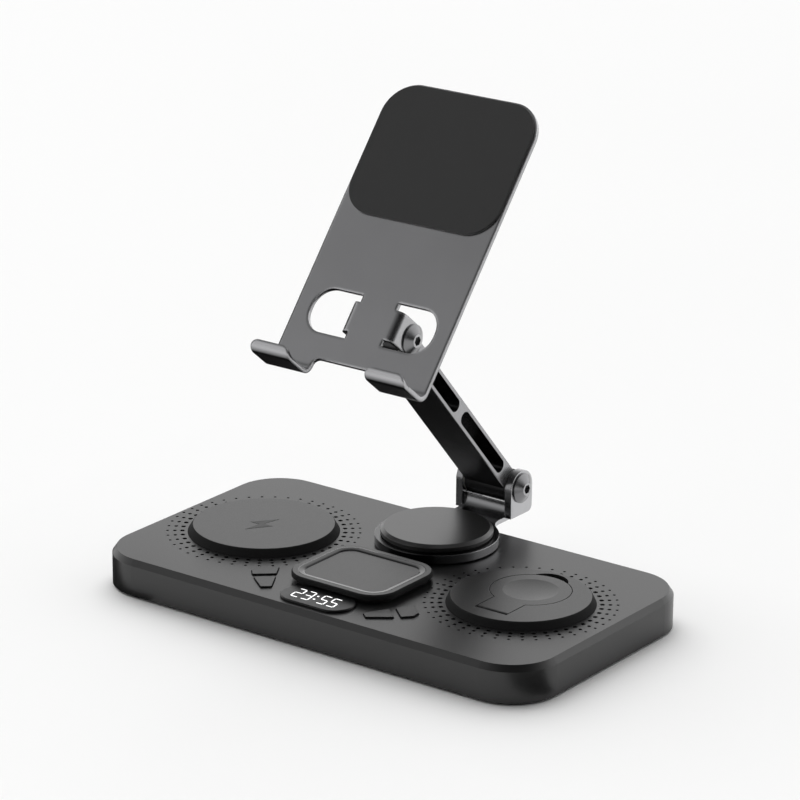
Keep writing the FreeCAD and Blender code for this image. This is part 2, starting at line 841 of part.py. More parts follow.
def make_watch_flap():
    flap = Piece("watch_flap")
    disc = flap.sketch(at=("0", "0", "flap_bottom"))
    flap.pad(circle(disc, "flap_radius", "0", "flap_offset"), "flap_thick")
    length = "flap_offset - flap_axis_y"
    tab = rectangle("tab_width", length, "0", f"flap_offset - ({length}) / 2")
    flap.pad(outline(flap.sketch(at=("0", "0", "flap_bottom")), tab), "flap_thick")
    nose = flap.sketch("YZ_Plane", at=("0", "0", "-tab_width / 2"))
    flap.pad(circle(nose, "flap_thick / 2", "flap_axis_y", "flap_axis_z"), "tab_width")
    bore = flap.sketch("YZ_Plane", at=("0", "0", "tab_width / 2"))
    flap.cut(circle(bore, "flap_pin_radius + run_clear", "flap_axis_y", "flap_axis_z"), "tab_width")
    bowl = [
        ("0", "flap_top - dish_depth"),
        ("dish_flat", "flap_top - dish_depth", "dish_round"),
        ("dish_radius", "flap_top"),
        ("0", "flap_top"),
    ]
    flap.turn("Groove", outline(flap.sketch("XZ_Plane", at=("0", "0", "-flap_offset")), bowl))
    cavity = flap.sketch(at=("0", "0", "flap_bottom"))
    flap.cut(circle(cavity, "flap_cavity", "0", "flap_offset"), "flap_roof_z - flap_bottom", reverse=True)
    flap.place(("pad_x", "0", "base_top"))
    middle = ("pad_x", "flap_offset", "base_top")
    reach = "flap_cavity - flap_cover_gap"
    turned("flap_cover", tube("0", reach, "flap_bottom", "flap_bottom + flap_cover_thick"), middle)
    turned("flap_coil", tube("flap_coil_inner", reach, "flap_roof_z - flap_coil_thick", "flap_roof_z"), middle)
    turned("flap_magnet", tube("0", "magnet_radius", "flap_bottom + flap_cover_thick", "flap_roof_z"), middle)


def bud_outline(inset):
    return rectangle(
        f"bud_length - 2 * ({inset})", f"bud_depth - 2 * ({inset})", "0", "bud_y", f"bud_corner - ({inset})"
    )


def make_earbud_pad():
    pad = Piece("earbud_pad")
    neck = "bud_top - bud_flange"
    pad.pad(outline(pad.sketch(at=("0", "0", neck)), bud_outline("0")), "bud_flange")
    top = value("bud_top")
    pad.chamfer(lambda middle, along: abs(middle.z - top) < 1e-4, "bud_bevel")
    pad.pad(outline(pad.sketch(at=("0", "0", "base_top")), bud_outline("bud_step")), "bud_rise - bud_flange")
    spigot = pad.sketch(at=("0", "0", "base_top"))
    pad.pad(outline(spigot, bud_outline("bud_spigot_inset")), "bud_spigot_depth", reverse=True)
    pad.cut(outline(pad.sketch(at=("0", "0", "bud_top")), bud_outline("bud_rim")), "bud_tray")
    reach = value("bud_length / 2 - bud_rim")
    depth = value("bud_depth / 2 - bud_rim")
    middle_y = value("bud_y")

    def is_tray_edge(middle, along):
        inside = abs(middle.x) < reach + 0.01 and abs(middle.y - middle_y) < depth + 0.01
        return inside and abs(middle.z - top) < 1e-4

    pad.chamfer(is_tray_edge, "bud_slope_run", "bud_slope_drop")
    cavity = pad.sketch(at=("0", "0", "base_top - bud_spigot_depth"))
    inside = bud_outline("bud_spigot_inset + bud_spigot_wall")
    pad.cut(outline(cavity, inside), "bud_under - base_top + bud_spigot_depth", reverse=True)
    under = ("0", "bud_y", "bud_under")
    reach = "bud_cavity - bud_coil_gap"
    turned("earbud_coil", tube("bud_coil_inner", reach, "-coil_thick", "0"), under)
    turned("earbud_ferrite", tube("0", reach, "-coil_thick - ferrite_thick", "-coil_thick"), under)


def make_lens():
    lens = Piece("display_lens")
    plan = stadium("lens_length", "lens_depth", "0", "lens_y")
    lens.pad(outline(lens.sketch(at=("0", "0", "base_top")), plan), "lens_rise")
    top = value("base_top + lens_rise")
    lens.chamfer(lambda middle, along: abs(middle.z - top) < 1e-4, "lens_bevel")
    spigot = stadium("lens_length - 2 * lens_step", "lens_depth - 2 * lens_step", "0", "lens_y")
    lens.pad(outline(lens.sketch(at=("0", "0", "base_top")), spigot), "cover_roof", reverse=True)


def make_buttons():
    """Four keys, each with a cap through the cover and a flange that stays under it."""
    flange_top = "-cover_roof - button_drop"
    for side, (x, bearing) in BUTTON_RAYS.items():
        caps = button_outlines(side)
        flanges = button_outlines(side, "button_flange")
        for name in ("rear", "front"):
            key = Piece(f"button_{side}_{name}")
            start = key.sketch(at=("0", "0", f"{flange_top} - button_flange_thick"))
            key.pad(outline(start, flanges[name]), "button_flange_thick")
            stem = key.sketch(at=("0", "0", flange_top))
            key.pad(outline(stem, caps[name]), f"button_rise - ({flange_top})")
            key.place((x, "0", "base_top"), turn=bearing)


def make_swivel():
    at = ("0", "swivel_y", "0")
    sleeve = "bush_bore + bush_wall"
    bush = [
        ("bush_bore", "bush_bottom"),
        (sleeve, "bush_bottom"),
        (sleeve, "base_top"),
        ("bush_flange", "base_top"),
        ("bush_flange", "base_top + bush_flange_thick"),
        ("bush_bore", "base_top + bush_flange_thick"),
    ]
    turned("swivel_bushing", bush, at)
    axle = [
        ("0", "nut_bottom - axle_tail"),
        ("axle_radius", "nut_bottom - axle_tail"),
        ("axle_radius", "ring_top"),
        ("axle_head", "ring_top"),
        ("axle_head", "ring_top + axle_head_thick"),
        ("0", "ring_top + axle_head_thick"),
    ]
    turned("swivel_axle", axle, at)
    washer_top = "washer_bottom + swivel_washer_thick"
    washer = tube("axle_radius + pin_fit", "swivel_washer_radius", "washer_bottom", washer_top)
    turned("swivel_washer", washer, at)
    nut = Piece("swivel_nut")
    nut.pad(outline(nut.sketch(at=("0", "0", "nut_bottom")), hexagon("nut_flats")), "nut_thick")
    nut.cut(circle(nut.sketch(at=("0", "0", "nut_bottom")), "axle_radius + pin_fit"), "nut_thick", reverse=True)
    nut.place(at)
    cap = [
        ("0", "cap_rise - cap_roof"),
        ("cap_cavity", "cap_rise - cap_roof"),
        ("cap_cavity", "0"),
        ("cap_foot", "0"),
        ("cap_foot", "cap_foot_rise"),
        ("cap_radius", "cap_foot_rise"),
        ("cap_radius", "cap_rise - cap_bevel_drop"),
        ("cap_top_radius", "cap_rise"),
        ("0", "cap_rise"),
    ]
    turned("swivel_cap", cap, ("0", "swivel_y", "ring_top"))


def make_bracket():
    """Turntable plate, neck and clevis, cast in one piece."""
    bracket = Piece("swivel_bracket")
    plate = bracket.sketch(at=("0", "0", "ring_bottom"))
    bracket.pad(circle(plate, "ring_radius", "0", "swivel_y"), "ring_thick")
    neck_length = "web_front + neck_lap - swivel_y"
    neck = rectangle("neck_width", neck_length, "0", f"swivel_y + ({neck_length}) / 2")
    bracket.pad(outline(bracket.sketch(at=("0", "0", "ring_top - neck_thick")), neck), "neck_thick")
    rim = value("ring_radius")
    side = value("neck_width / 2")
    join_y = value("swivel_y") + math.sqrt(rim * rim - side * side)

    def is_join(middle, along):
        upright = abs(along.z) > 0.99
        return upright and abs(abs(middle.x) - side) < 1e-3 and abs(middle.y - join_y) < 1e-3

    bracket.fillet(is_join, "neck_fillet")
    ear = [
        ("ear_rear", "hinge_z + ear_radius", "ear_radius - stadium_flat"),
        ("ear_front", "hinge_z + ear_radius", "ear_radius - stadium_flat"),
        ("ear_front", "ear_bottom"),
        ("ear_rear", "ear_bottom", "ear_corner"),
    ]
    web = [
        ("web_front", "ear_bottom"),
        ("ear_rear", "ear_bottom"),
        ("ear_rear", "web_rear_top"),
        ("hinge_y", "web_rear_top"),
        ("hinge_y", "web_top"),
        ("web_front", "web_top"),
    ]
    bracket.pad(outline(bracket.sketch("YZ_Plane", at=("0", "0", "-ear_in")), web), "2 * ear_in")
    right = bracket.pad(outline(bracket.sketch("YZ_Plane", at=("0", "0", "ear_in")), ear), "ear_thick")
    bracket.mirror(right)
    saddle = bracket.sketch("YZ_Plane", at=("0", "0", "ear_in"))
    bracket.cut(circle(saddle, "saddle_radius", "hinge_y", "hinge_z"), "2 * ear_in")
    bores = bracket.sketch("YZ_Plane", at=("0", "0", "ear_out"))
    bracket.cut(circle(bores, "pin_radius + pin_fit", "hinge_y", "hinge_z"), "2 * ear_out")
    axle_hole = bracket.sketch(at=("0", "0", "ring_top"))
    bracket.cut(circle(axle_hole, "axle_radius + pin_fit", "0", "swivel_y"), "ring_thick")
    front = value("web_front")
    floor = value("ring_top")

    def is_sweep(middle, along):
        return abs(along.x) > 0.99 and abs(middle.y - front) < 1e-3 and abs(middle.z - floor) < 1e-3

    bracket.fillet(is_sweep, "sweep_radius")


def make_arm():
    """Cast arm with two long slots, upright in its own frame, with its lower hinge at the origin."""
    arm = Piece("arm")
    start = ("0", "0", "-arm_width / 2")
    bar = rectangle("arm_thick", "arm_length", "0", "arm_length / 2")
    arm.pad(outline(arm.sketch("YZ_Plane", at=start), bar), "arm_width")
    half = value("arm_thick / 2")
    ends = value("arm_width / 2")

    def is_long_edge(middle, along):
        return abs(along.z) > 0.99 and abs(abs(middle.y) - half) < 1e-3 and abs(abs(middle.x) - ends) < 1e-3

    arm.chamfer(is_long_edge, "arm_edge")
    for height in ("0", "arm_length"):
        arm.pad(circle(arm.sketch("YZ_Plane", at=start), "hub_radius", "0", height), "arm_width")
    for low, high in (("slot_start", "slot_split"), ("slot_split + slot_web", "slot_end")):
        slot = rectangle(
            "slot_width", f"{high} - ({low})", "0", f"({high} + {low}) / 2", "slot_width / 2 - stadium_flat"
        )
        face = arm.sketch("YZ_Plane", at=("0", "0", "arm_width / 2"))
        arm.cut(outline(face, slot), "arm_width")
    bores = arm.sketch("YZ_Plane", at=("0", "0", "arm_width / 2"))
    for height in ("0", "arm_length"):
        circle(bores, "pin_bore", "0", height)
    arm.cut(bores, "arm_width")
    arm.place(("0", "hinge_y", "hinge_z"), "1; 0; 0", "90 - arm_angle")


def make_hinge(name, face, y, z):
    """A pin, two shims beside the arm and two cone heads with hexagon sockets on the outer faces."""
    turned(f"{name}_hinge_pin", tube("0", "pin_radius", f"-{face}", face), ("0", y, z), "90")
    shims = []
    heads = []
    for side, turn in (("", "90"), ("-", "-90")):
        inner = f"{side}(ear_in - shim_thick)"
        ring = tube("pin_radius + pin_fit", "shim_radius", "0", "shim_thick")
        shims.append(turned("shim", ring, (inner, y, z), turn, is_node=False).body)
        cone = [
            ("0", "0"),
            ("head_radius", "0"),
            ("head_radius", "head_brim"),
            ("head_tip", "head_rise"),
            ("0", "head_rise"),
        ]
        head = turned("head", cone, (f"{side}{face}", y, z), turn, is_node=False)
        socket = outline(head.sketch(at=("0", "0", "head_rise")), hexagon("socket_flats"))
        head.cut(socket, "socket_depth")
        heads.append(head.body)
    group(f"{name}_hinge_shims", shims)
    group(f"{name}_hinge_heads", heads)


def make_phone_plate():
    """Phone plate bent from one sheet: two lugs folded back from its windows and two hooks curled at its foot.

    In its own frame the upper hinge is the X axis, y runs up the plate and z out of its front."""
    plate = Piece("phone_plate")
    edge = "plate_width / 2"
    plan = [
        (f"-{edge}", "-leg_end"),
        ("-hook_inner_x", "-leg_end"),
        ("-hook_inner_x", "-notch_drop", "notch_corner"),
        ("hook_inner_x", "-notch_drop", "notch_corner"),
        ("hook_inner_x", "-leg_end"),
        (edge, "-leg_end"),
        (edge, "plate_top", "plate_corner"),
        (f"-{edge}", "plate_top", "plate_corner"),
    ]
    back = ("0", "0", "plate_offset - sheet")
    plate.pad(outline(plate.sketch(at=back), plan), "sheet")
    tall = "window_height / 2"
    lug = "lug_width / 2"
    window = [
        ("fold_start - relief", tall),
        ("fold_start - relief", lug),
        ("fold_start", lug),
        ("fold_start", f"-{lug}"),
        ("fold_start - relief", f"-{lug}"),
        ("fold_start - relief", f"-{tall}"),
        ("window_reach", f"-{tall}", "window_round"),
        ("window_reach", tall, "window_round"),
    ]
    opening = plate.cut(outline(plate.sketch(at=back), window), "sheet", reverse=True)
    plate.mirror(opening)
    front = "plate_offset"
    hook = [
        ("-leg_end + fold_lap", f"{front} - sheet"),
        ("-hook_drop", f"{front} - sheet", "bend_outer"),
        ("-hook_drop", f"{front} + hook_reach", "lip_bend + sheet"),
        ("-hook_drop + hook_lip", f"{front} + lip_top_reach"),
        ("-hook_drop + hook_lip", f"{front} + lip_top_reach - lip_across"),
        ("-hook_drop + sheet", f"{front} + hook_reach + sheet * tan(hook_flare) - lip_across", "lip_bend"),
        ("-hook_drop + sheet", front, "hook_bend"),
        ("-leg_end + fold_lap", front),
    ]
    right = plate.pad(outline(plate.sketch("YZ_Plane", at=("0", "0", "hook_inner_x")), hook), "hook_width")
    plate.mirror(right)
    trim = plate.sketch(at=("0", "0", f"{front} + lip_top_reach"))
    middle_x = f"{edge} - hook_width / 2"
    height = "hook_lip + 2 * lip_corner"
    middle_y = f"-hook_drop + hook_lip - ({height}) / 2"
    outline(trim, rectangle("hook_width + 2 * lip_trim", f"{height} + 2 * lip_trim", middle_x, middle_y))
    outline(trim, rectangle("hook_width", height, middle_x, middle_y, "lip_corner"))
    plate.mirror(plate.cut(trim, "lip_top_reach - hook_reach + lip_bend + sheet"))
    fold = [
        ("fold_start - fold_lap", front),
        ("lug_out", front, "fold_bend + sheet"),
        ("lug_out", "-lug_margin"),
        ("ear_in", "-lug_margin"),
        ("ear_in", f"{front} - sheet", "fold_bend"),
        ("fold_start - fold_lap", f"{front} - sheet"),
    ]
    right = plate.pad(outline(plate.sketch("XZ_Plane", at=("0", "0", f"-{lug}")), fold), "lug_width")
    plate.mirror(right)
    lug_end = value("-lug_margin")

    def is_lug_corner(middle, along):
        return abs(along.x) > 0.99 and abs(middle.z - lug_end) < 1e-3

    plate.fillet(is_lug_corner, "lug_corner")
    bores = plate.sketch("YZ_Plane", at=("0", "0", "lug_out"))
    plate.cut(circle(bores, "pin_radius + pin_fit"), "2 * lug_out")
    tilt = ("1; 0; 0", "90 - plate_recline")
    plate.place(("0", "upper_y", "upper_z"), *tilt)
    grip = Piece("grip_pad")
    length = "grip_length"
    plan = rectangle(
        "plate_width - 2 * grip_margin",
        length,
        "0",
        f"plate_top - grip_margin - {length} / 2",
        "grip_corner",
    )
    grip.pad(outline(grip.sketch(at=("0", "0", "plate_offset")), plan), "grip_thick")
    grip.place(("0", "upper_y", "upper_z"), *tilt)


make_top_cover()
make_floor()
make_screws()
make_ballast()
make_board()
make_usb_port()
make_left_pad()
make_watch_pad()
make_watch_flap()
make_earbud_pad()
make_lens()
make_buttons()
make_swivel()
make_bracket()
make_arm()
make_hinge("lower", "ear_out", "hinge_y", "hinge_z")
make_hinge("upper", "lug_out", "upper_y", "upper_z")
make_phone_plate()
doc.recompute()

failed = [item.Label for item in doc.Objects if {"Invalid", "Error"} & set(item.State)]
for label, thing in NODES.items():
    if thing.Shape.isNull() or not thing.Shape.isValid():
        failed.append(label)
if failed:
    raise RuntimeError("not built: " + ", ".join(failed))

os.makedirs("parts", exist_ok=True)
for label, thing in NODES.items():
    thing.Shape.exportStep(f"parts/{label}.step")
print(len(NODES), "sub-parts")
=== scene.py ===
import json
import math

import bmesh
import bpy
from mathutils import Matrix, Vector


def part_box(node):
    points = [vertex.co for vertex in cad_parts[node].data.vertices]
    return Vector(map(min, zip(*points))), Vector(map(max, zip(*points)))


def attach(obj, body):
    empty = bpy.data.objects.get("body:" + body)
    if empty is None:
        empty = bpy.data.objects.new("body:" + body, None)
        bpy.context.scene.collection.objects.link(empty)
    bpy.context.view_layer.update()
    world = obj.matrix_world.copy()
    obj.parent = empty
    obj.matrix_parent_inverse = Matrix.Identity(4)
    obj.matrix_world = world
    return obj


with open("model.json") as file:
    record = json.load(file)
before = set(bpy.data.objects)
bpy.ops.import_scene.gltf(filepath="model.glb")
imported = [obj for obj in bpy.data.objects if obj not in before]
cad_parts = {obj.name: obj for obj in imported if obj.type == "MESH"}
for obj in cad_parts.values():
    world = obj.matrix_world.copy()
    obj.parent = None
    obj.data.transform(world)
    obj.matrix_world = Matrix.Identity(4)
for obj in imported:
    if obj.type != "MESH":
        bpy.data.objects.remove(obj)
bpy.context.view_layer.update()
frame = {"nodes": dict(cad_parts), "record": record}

MM = 0.001


# Node materials

def shade(colour, factor):
    return tuple(min(1.0, part * factor) for part in colour)


class Look:
    """A procedural material, with short names for the nodes that the station's finishes are made of."""

    def __init__(self, name, **sockets):
        self.material = bpy.data.materials.new(name)
        self.material.use_nodes = True
        self.tree = self.material.node_tree
        self.shader = self.tree.nodes["Principled BSDF"]
        own = self.add("ShaderNodeTexCoord")
        self.place, self.normal = own.outputs["Object"], own.outputs["Normal"]
        for socket, number in sockets.items():
            self.shader.inputs[socket.replace("_", " ")].default_value = number

    def add(self, kind, inputs=(), **settings):
        """Adds a node. An input is a number, a colour or another node's output."""
        node = self.tree.nodes.new(kind)
        for setting, choice in settings.items():
            setattr(node, setting, choice)
        for socket, content in dict(inputs).items():
            if isinstance(content, bpy.types.NodeSocket):
                self.tree.links.new(content, node.inputs[socket])
            else:
                node.inputs[socket].default_value = content
        return node

    def feed(self, socket, output):
        self.tree.links.new(output, self.shader.inputs[socket])

    def parts(self, vector):
        """The X, Y and Z of a vector."""
        return self.add("ShaderNodeSeparateXYZ", {0: vector}).outputs

    def stretched(self, scale):
        """The piece's own coordinates, stretched along each axis."""
        return self.add("ShaderNodeVectorMath", {0: self.place, 1: scale}, operation="MULTIPLY").outputs[0]

    def noise(self, scale, detail=3.0, vector=None):
        inputs = {"Vector": vector or self.place, "Scale": scale, "Detail": detail, "Roughness": 0.55}
        return self.add("ShaderNodeTexNoise", inputs).outputs["Fac"]

    def ramp(self, fac, stops):
        node = self.add("ShaderNodeValToRGB", {"Fac": fac})
        band = node.color_ramp
        while len(band.elements) < len(stops):
            band.elements.new(0.5)
        for element, (position, colour) in zip(band.elements, stops):
            element.position = position
            element.color = (*colour, 1)
        return node.outputs["Color"]

    def tones(self, fac, colour, dark, light, span=(0.3, 0.7)):
        """A colour that drifts from a darker to a lighter tone of itself."""
        return self.ramp(fac, [(span[0], shade(colour, dark)), (span[1], shade(colour, light))])

    def spread(self, fac, low, high, span=(0.3, 0.7)):
        """Spreads a span of an input over a range of values."""
        inputs = {"Value": fac, "From Min": span[0], "From Max": span[1], "To Min": low, "To Max": high}
        return self.add("ShaderNodeMapRange", inputs).outputs["Result"]

    def blend(self, fac, first, second):
        return self.add("ShaderNodeMix", {0: fac, 6: first, 7: second}, data_type="RGBA").outputs[2]

    def soft_edges(self, radius):
        return self.add("ShaderNodeBevel", {"Radius": radius}, samples=6).outputs["Normal"]

    def bump(self, height, depth, normal=None):
        inputs = {"Height": height, "Distance": depth, "Strength": 1.0}
        if normal:
            inputs["Normal"] = normal
        return self.add("ShaderNodeBump", inputs).outputs["Normal"]


def moulded(name, colour, rough, grain=2600, depth=6e-6, edge=2.5e-4, walls=None, **sockets):
    """Moulded plastic: fine spark-eroded grain, faint clouds in the colour, softly rounded edges, and walls that
    may be duller than the top."""
    look = Look(name, **sockets)
    clouds = look.noise(38, 4)
    grains = look.noise(grain, 2)
    mixed = look.add("ShaderNodeMath", {0: clouds, 1: grains, 2: 0.25}, operation="MULTIPLY_ADD")
    look.feed("Base Color", look.tones(mixed.outputs[0], colour, 0.92, 1.08, (0.35, 0.65)))
    polish = look.spread(grains, rough - 0.05, rough + 0.05)
    if walls:
        wall = look.spread(look.parts(look.normal)["Z"], 1.0, 0.0, (0.85, 0.97))
        duller = look.add("ShaderNodeMath", {0: wall, 1: walls - rough, 2: polish}, operation="MULTIPLY_ADD")
        polish = duller.outputs[0]
    look.feed("Roughness", polish)
    look.feed("Normal", look.bump(grains, depth, look.soft_edges(edge)))
    return look.material


def anodised(name, colour, rough, painted_lit_sides=None, under=None, behind=None, painted_lit_span=(0.5, 0.85), edge=2e-4, **sockets):
    """Blasted and anodised aluminium, with painted light and shade in its colour: faces turned to the left and
    right may get a lighter, lit tone with fine lines, faces below at the front a dark tone, and the part behind a
    place along Y a tone of its own."""
    look = Look(name, **{"Metallic": 1.0, **sockets})
    drift = look.noise(22, 3)
    grains = look.noise(3200, 3)
    facing = look.parts(look.normal)
    tone = look.tones(drift, colour, 0.94, 1.06)
    # Painted light and shade: the part behind a place along Y gets another tone, a lighter or darker copy of the
    # metal as though lit differently.
    if behind:
        start, other = behind
        back = look.spread(look.parts(look.place)["Y"], 0.0, 1.0, (start, start + MM))
        tone = look.blend(back, tone, look.tones(drift, other, 0.94, 1.06))
    # Painted shade: faces turned down and towards the front get a dark tone of their own.
    if under:
        below = look.spread(facing["Z"], 1.0, 0.0, (-0.55, 0.0))
        ahead = look.spread(facing["Y"], 1.0, 0.0, (0.1, 0.4))
        painted_shade_mask = look.add("ShaderNodeMath", {0: below, 1: ahead}, operation="MULTIPLY").outputs[0]
        tone = look.blend(painted_shade_mask, tone, look.tones(drift, under, 0.9, 1.1))
    # Painted light: faces turned to the left or right get a lighter tone, as though lit from the sides, with fine
    # lines in it.
    if painted_lit_sides:
        reach = look.add("ShaderNodeMath", {0: facing["X"]}, operation="ABSOLUTE").outputs[0]
        lines = look.noise(4200, 2, look.stretched((1, 1, 0.06)))
        tone = look.blend(look.spread(reach, 0.0, 1.0, painted_lit_span), tone, look.tones(lines, painted_lit_sides, 0.93, 1.06))
    look.feed("Base Color", tone)
    look.feed("Roughness", look.spread(grains, rough - 0.012, rough + 0.012))
    look.feed("Normal", look.bump(grains, 1e-7, look.soft_edges(edge)))
    return look.material


def brushed(name, colour, rough, along=(1, 1, 0.04)):
    """Drawn or turned steel with fine lines."""
    look = Look(name, Metallic=1.0)
    lines = look.noise(5200, 2, look.stretched(along))
    look.feed("Base Color", look.tones(lines, colour, 0.86, 1.08))
    look.feed("Roughness", look.spread(lines, rough - 0.06, rough + 0.08))
    look.feed("Normal", look.bump(lines, 4e-6, look.soft_edges(2e-4)))
    return look.material


def rubber(name, colour, rough, pimples=None):
    """Silicone or rubber with a dull, faintly dusty skin, and pimples where it is a foot mat."""
    look = Look(name, Sheen_Weight=0.12, Sheen_Roughness=0.5)
    dust = look.noise(90, 5)
    skin = look.noise(3400, 2)
    look.feed("Base Color", look.tones(dust, colour, 0.9, 1.15, (0.3, 0.72)))
    look.feed("Roughness", look.spread(dust, rough - 0.06, rough + 0.06))
    normal = look.bump(skin, 5e-6, look.soft_edges(3e-4))
    if pimples:
        cells = look.add("ShaderNodeTexVoronoi", {"Vector": look.place, "Scale": pimples, "Randomness": 0.0})
        normal = look.bump(look.spread(cells.outputs["Distance"], 1.0, 0.0), 2e-4, normal)
    look.feed("Normal", normal)
    return look.material


def wound(name, colour):
    """A flat coil of enamelled wire: rings about the coil's own axis."""
    look = Look(name, Metallic=1.0, Coat_Weight=0.4)
    inputs = {"Vector": look.place, "Scale": 320.0, "Distortion": 0.2}
    wire = look.add("ShaderNodeTexWave", inputs, wave_type="RINGS", rings_direction="Z").outputs["Fac"]
    look.feed("Base Color", look.ramp(wire, [(0.1, shade(colour, 0.35)), (0.6, colour)]))
    look.feed("Roughness", look.spread(look.noise(900), 0.25, 0.4))
    look.feed("Normal", look.bump(wire, 2e-4))
    return look.material


def circuit(name, colour):
    """Solder mask over a maze of copper tracks."""
    look = Look(name, Coat_Weight=0.3)
    inputs = {
        "Vector": look.place,
        "Scale": 130.0,
        "Mortar Size": 0.05,
        "Color1": (0.25, 0.25, 0.25, 1),
        "Color2": (0.5, 0.5, 0.5, 1),
        "Mortar": (1, 1, 1, 1),
    }
    tracks = look.add("ShaderNodeTexBrick", inputs).outputs["Color"]
    stops = [(0.2, shade(colour, 0.8)), (0.6, colour), (0.95, shade(colour, 2.1))]
    look.feed("Base Color", look.ramp(tracks, stops))
    look.feed("Roughness", look.spread(look.noise(700), 0.3, 0.45))
    look.feed("Normal", look.bump(tracks, 3e-5))
    return look.material


def glossy(name, colour, rough, **sockets):
    """Smoked, polished plastic or ink with faint wiping marks."""
    look = Look(name, **sockets)
    wipes = look.noise(160, 4, look.stretched((1, 0.25, 1)))
    look.feed("Base Color", look.tones(wipes, colour, 0.85, 1.15))
    look.feed("Roughness", look.spread(wipes, rough - 0.04, rough + 0.07))
    look.feed("Normal", look.soft_edges(3e-4))
    return look.material


def lit(name, colour, strength):
    """A lit clock segment behind a diffuser, with a slightly uneven glow."""
    look = Look(name, Roughness=0.5, Emission_Strength=strength)
    glow = look.noise(420, 2)
    look.feed("Base Color", look.tones(glow, colour, 0.9, 1.0))
    look.feed("Emission Color", look.tones(glow, colour, 0.88, 1.0, (0.25, 0.6)))
    return look.material


ALUMINIUM = (0.42, 0.42, 0.43)
PLASTIC = (0.009, 0.009, 0.0092)
DULL_WALLS = 0.95

LOOKS = {
    "housing": moulded("housing_plastic", PLASTIC, 0.34, edge=1e-4, Specular_IOR_Level=0.66),
    "underside": moulded("underside_plastic", shade(PLASTIC, 0.6), 0.55, grain=1800, depth=1.2e-5),
    "mat": rubber("mat_rubber", (0.02, 0.02, 0.0205), 0.8, pimples=420),
    "steel": brushed("drawn_steel", (0.55, 0.55, 0.56), 0.32),
    "pad": moulded("pad_plastic", PLASTIC, 0.34, grain=3000, depth=4e-6, edge=2e-4, walls=DULL_WALLS),
    "inner_plastic": moulded("inner_plastic", shade(PLASTIC, 0.5), 0.55),
    "coil": wound("copper_wire", (0.72, 0.36, 0.16)),
    "ferrite": moulded("ferrite", (0.02, 0.02, 0.022), 0.6, grain=900, depth=2e-5),
    "magnet": brushed("plated_magnet", (0.62, 0.61, 0.6), 0.2, (1, 1, 1)),
    "lens": glossy("smoked_lens", (0.008, 0.008, 0.0082), 0.34, Specular_IOR_Level=0.33),
    "display": glossy("display_filter", (0.02, 0.02, 0.021), 0.25),
    "board": circuit("solder_mask", (0.012, 0.11, 0.045)),
    "chips": moulded("chip_resin", (0.012, 0.012, 0.0125), 0.6, grain=1600),
    "usb": brushed("plated_shell", (0.6, 0.6, 0.61), 0.25, (1, 0.05, 1)),
    "bearing": moulded("natural_nylon", (0.62, 0.61, 0.57), 0.45, Subsurface_Weight=0.1),
    "keys": moulded("key_plastic", PLASTIC, 0.36, walls=DULL_WALLS),
    "cap": moulded("cap_lacquer", PLASTIC, 0.35, grain=3400, depth=2e-6, edge=3e-4, Specular_IOR_Level=1.0),
    # Painted highlight: a lit tone on the faces turned almost straight to the left or right.
    "arm_metal": anodised("head_metal", shade(ALUMINIUM, 0.5), 0.24, painted_lit_sides=ALUMINIUM, painted_lit_span=(0.9, 0.97)),
    "silicone": rubber("grip_silicone", (0.022, 0.022, 0.0222), 0.7),
}
OWN_LOOKS = {
    # Painted light and shade: a dark tone on most faces and a lit tone on the faces turned to the left and right.
    "arm": anodised(
        "arm_metal",
        shade(ALUMINIUM, 0.13),
        0.26,
        painted_lit_sides=ALUMINIUM,
        Metallic=0.85,
        Specular_Tint=(0.3, 0.3, 0.3, 1),
    ),
    # Painted light and shade: a dark tone on the ring under the cap, a lighter, lit tone on the part behind it,
    # and lit faces to the left and right.
    "swivel_bracket": anodised(
        "bracket_metal",
        shade(ALUMINIUM, 0.2),
        0.26,
        painted_lit_sides=shade(ALUMINIUM, 1.15),
        behind=(0.052, shade(ALUMINIUM, 0.6)),
        edge=4e-4,
    ),
    # Painted shade: faces below at the front get a near-black tone. The faces to the left and right keep the
    # plate's colour, with the lit tone's fine lines.
    "phone_plate": anodised(
        "plate_metal",
        ALUMINIUM,
        0.24,
        painted_lit_sides=ALUMINIUM,
        under=shade(ALUMINIUM, 0.06),
        edge=1.4e-3,
    ),
}

for row in frame["record"]["subparts"]:
    mesh = frame["nodes"][row["node"]].data
    mesh.materials.clear()
    mesh.materials.append(OWN_LOOKS.get(row["node"]) or LOOKS[row["material_slot"]])


# Pieces of the scene's own: the clock's digits, the charging sign and the ring of the earbud tray

def new_piece(name, built, material):
    """An object from a finished bmesh."""
    mesh = bpy.data.meshes.new(name)
    built.to_mesh(mesh)
    built.free()
    mesh.materials.append(material)
    piece = bpy.data.objects.new(name, mesh)
    bpy.context.scene.collection.objects.link(piece)
    return piece


# Height and inset of a flat plate's outline, as shares of its thickness
PLATE_STEPS = ((0.0, 0.0), (0.6, 0.0), (1.0, 0.12))


def flat_piece(name, outlines, low, thick, material, body):
    """Flat plates with the given outlines, in millimetres, standing on the height low."""
    built = bmesh.new()
    for outline in outlines:
        middle = sum((Vector(point) for point in outline), Vector((0, 0))) / len(outline)
        rings = []
        for rise, inset in PLATE_STEPS:
            ring = []
            for point in outline:
                moved = Vector(point) + (middle - Vector(point)).normalized() * inset * thick
                ring.append(built.verts.new((moved.x * MM, moved.y * MM, (low + rise * thick) * MM)))
            rings.append(ring)
        count = len(outline)
        for lower, upper in zip(rings, rings[1:]):
            for index in range(count):
                after = (index + 1) % count
                built.faces.new((lower[index], lower[after], upper[after], upper[index]))
        built.faces.new(rings[-1])
        built.faces.new(reversed(rings[0]))
    piece = new_piece(name, built, material)
    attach(piece, body)


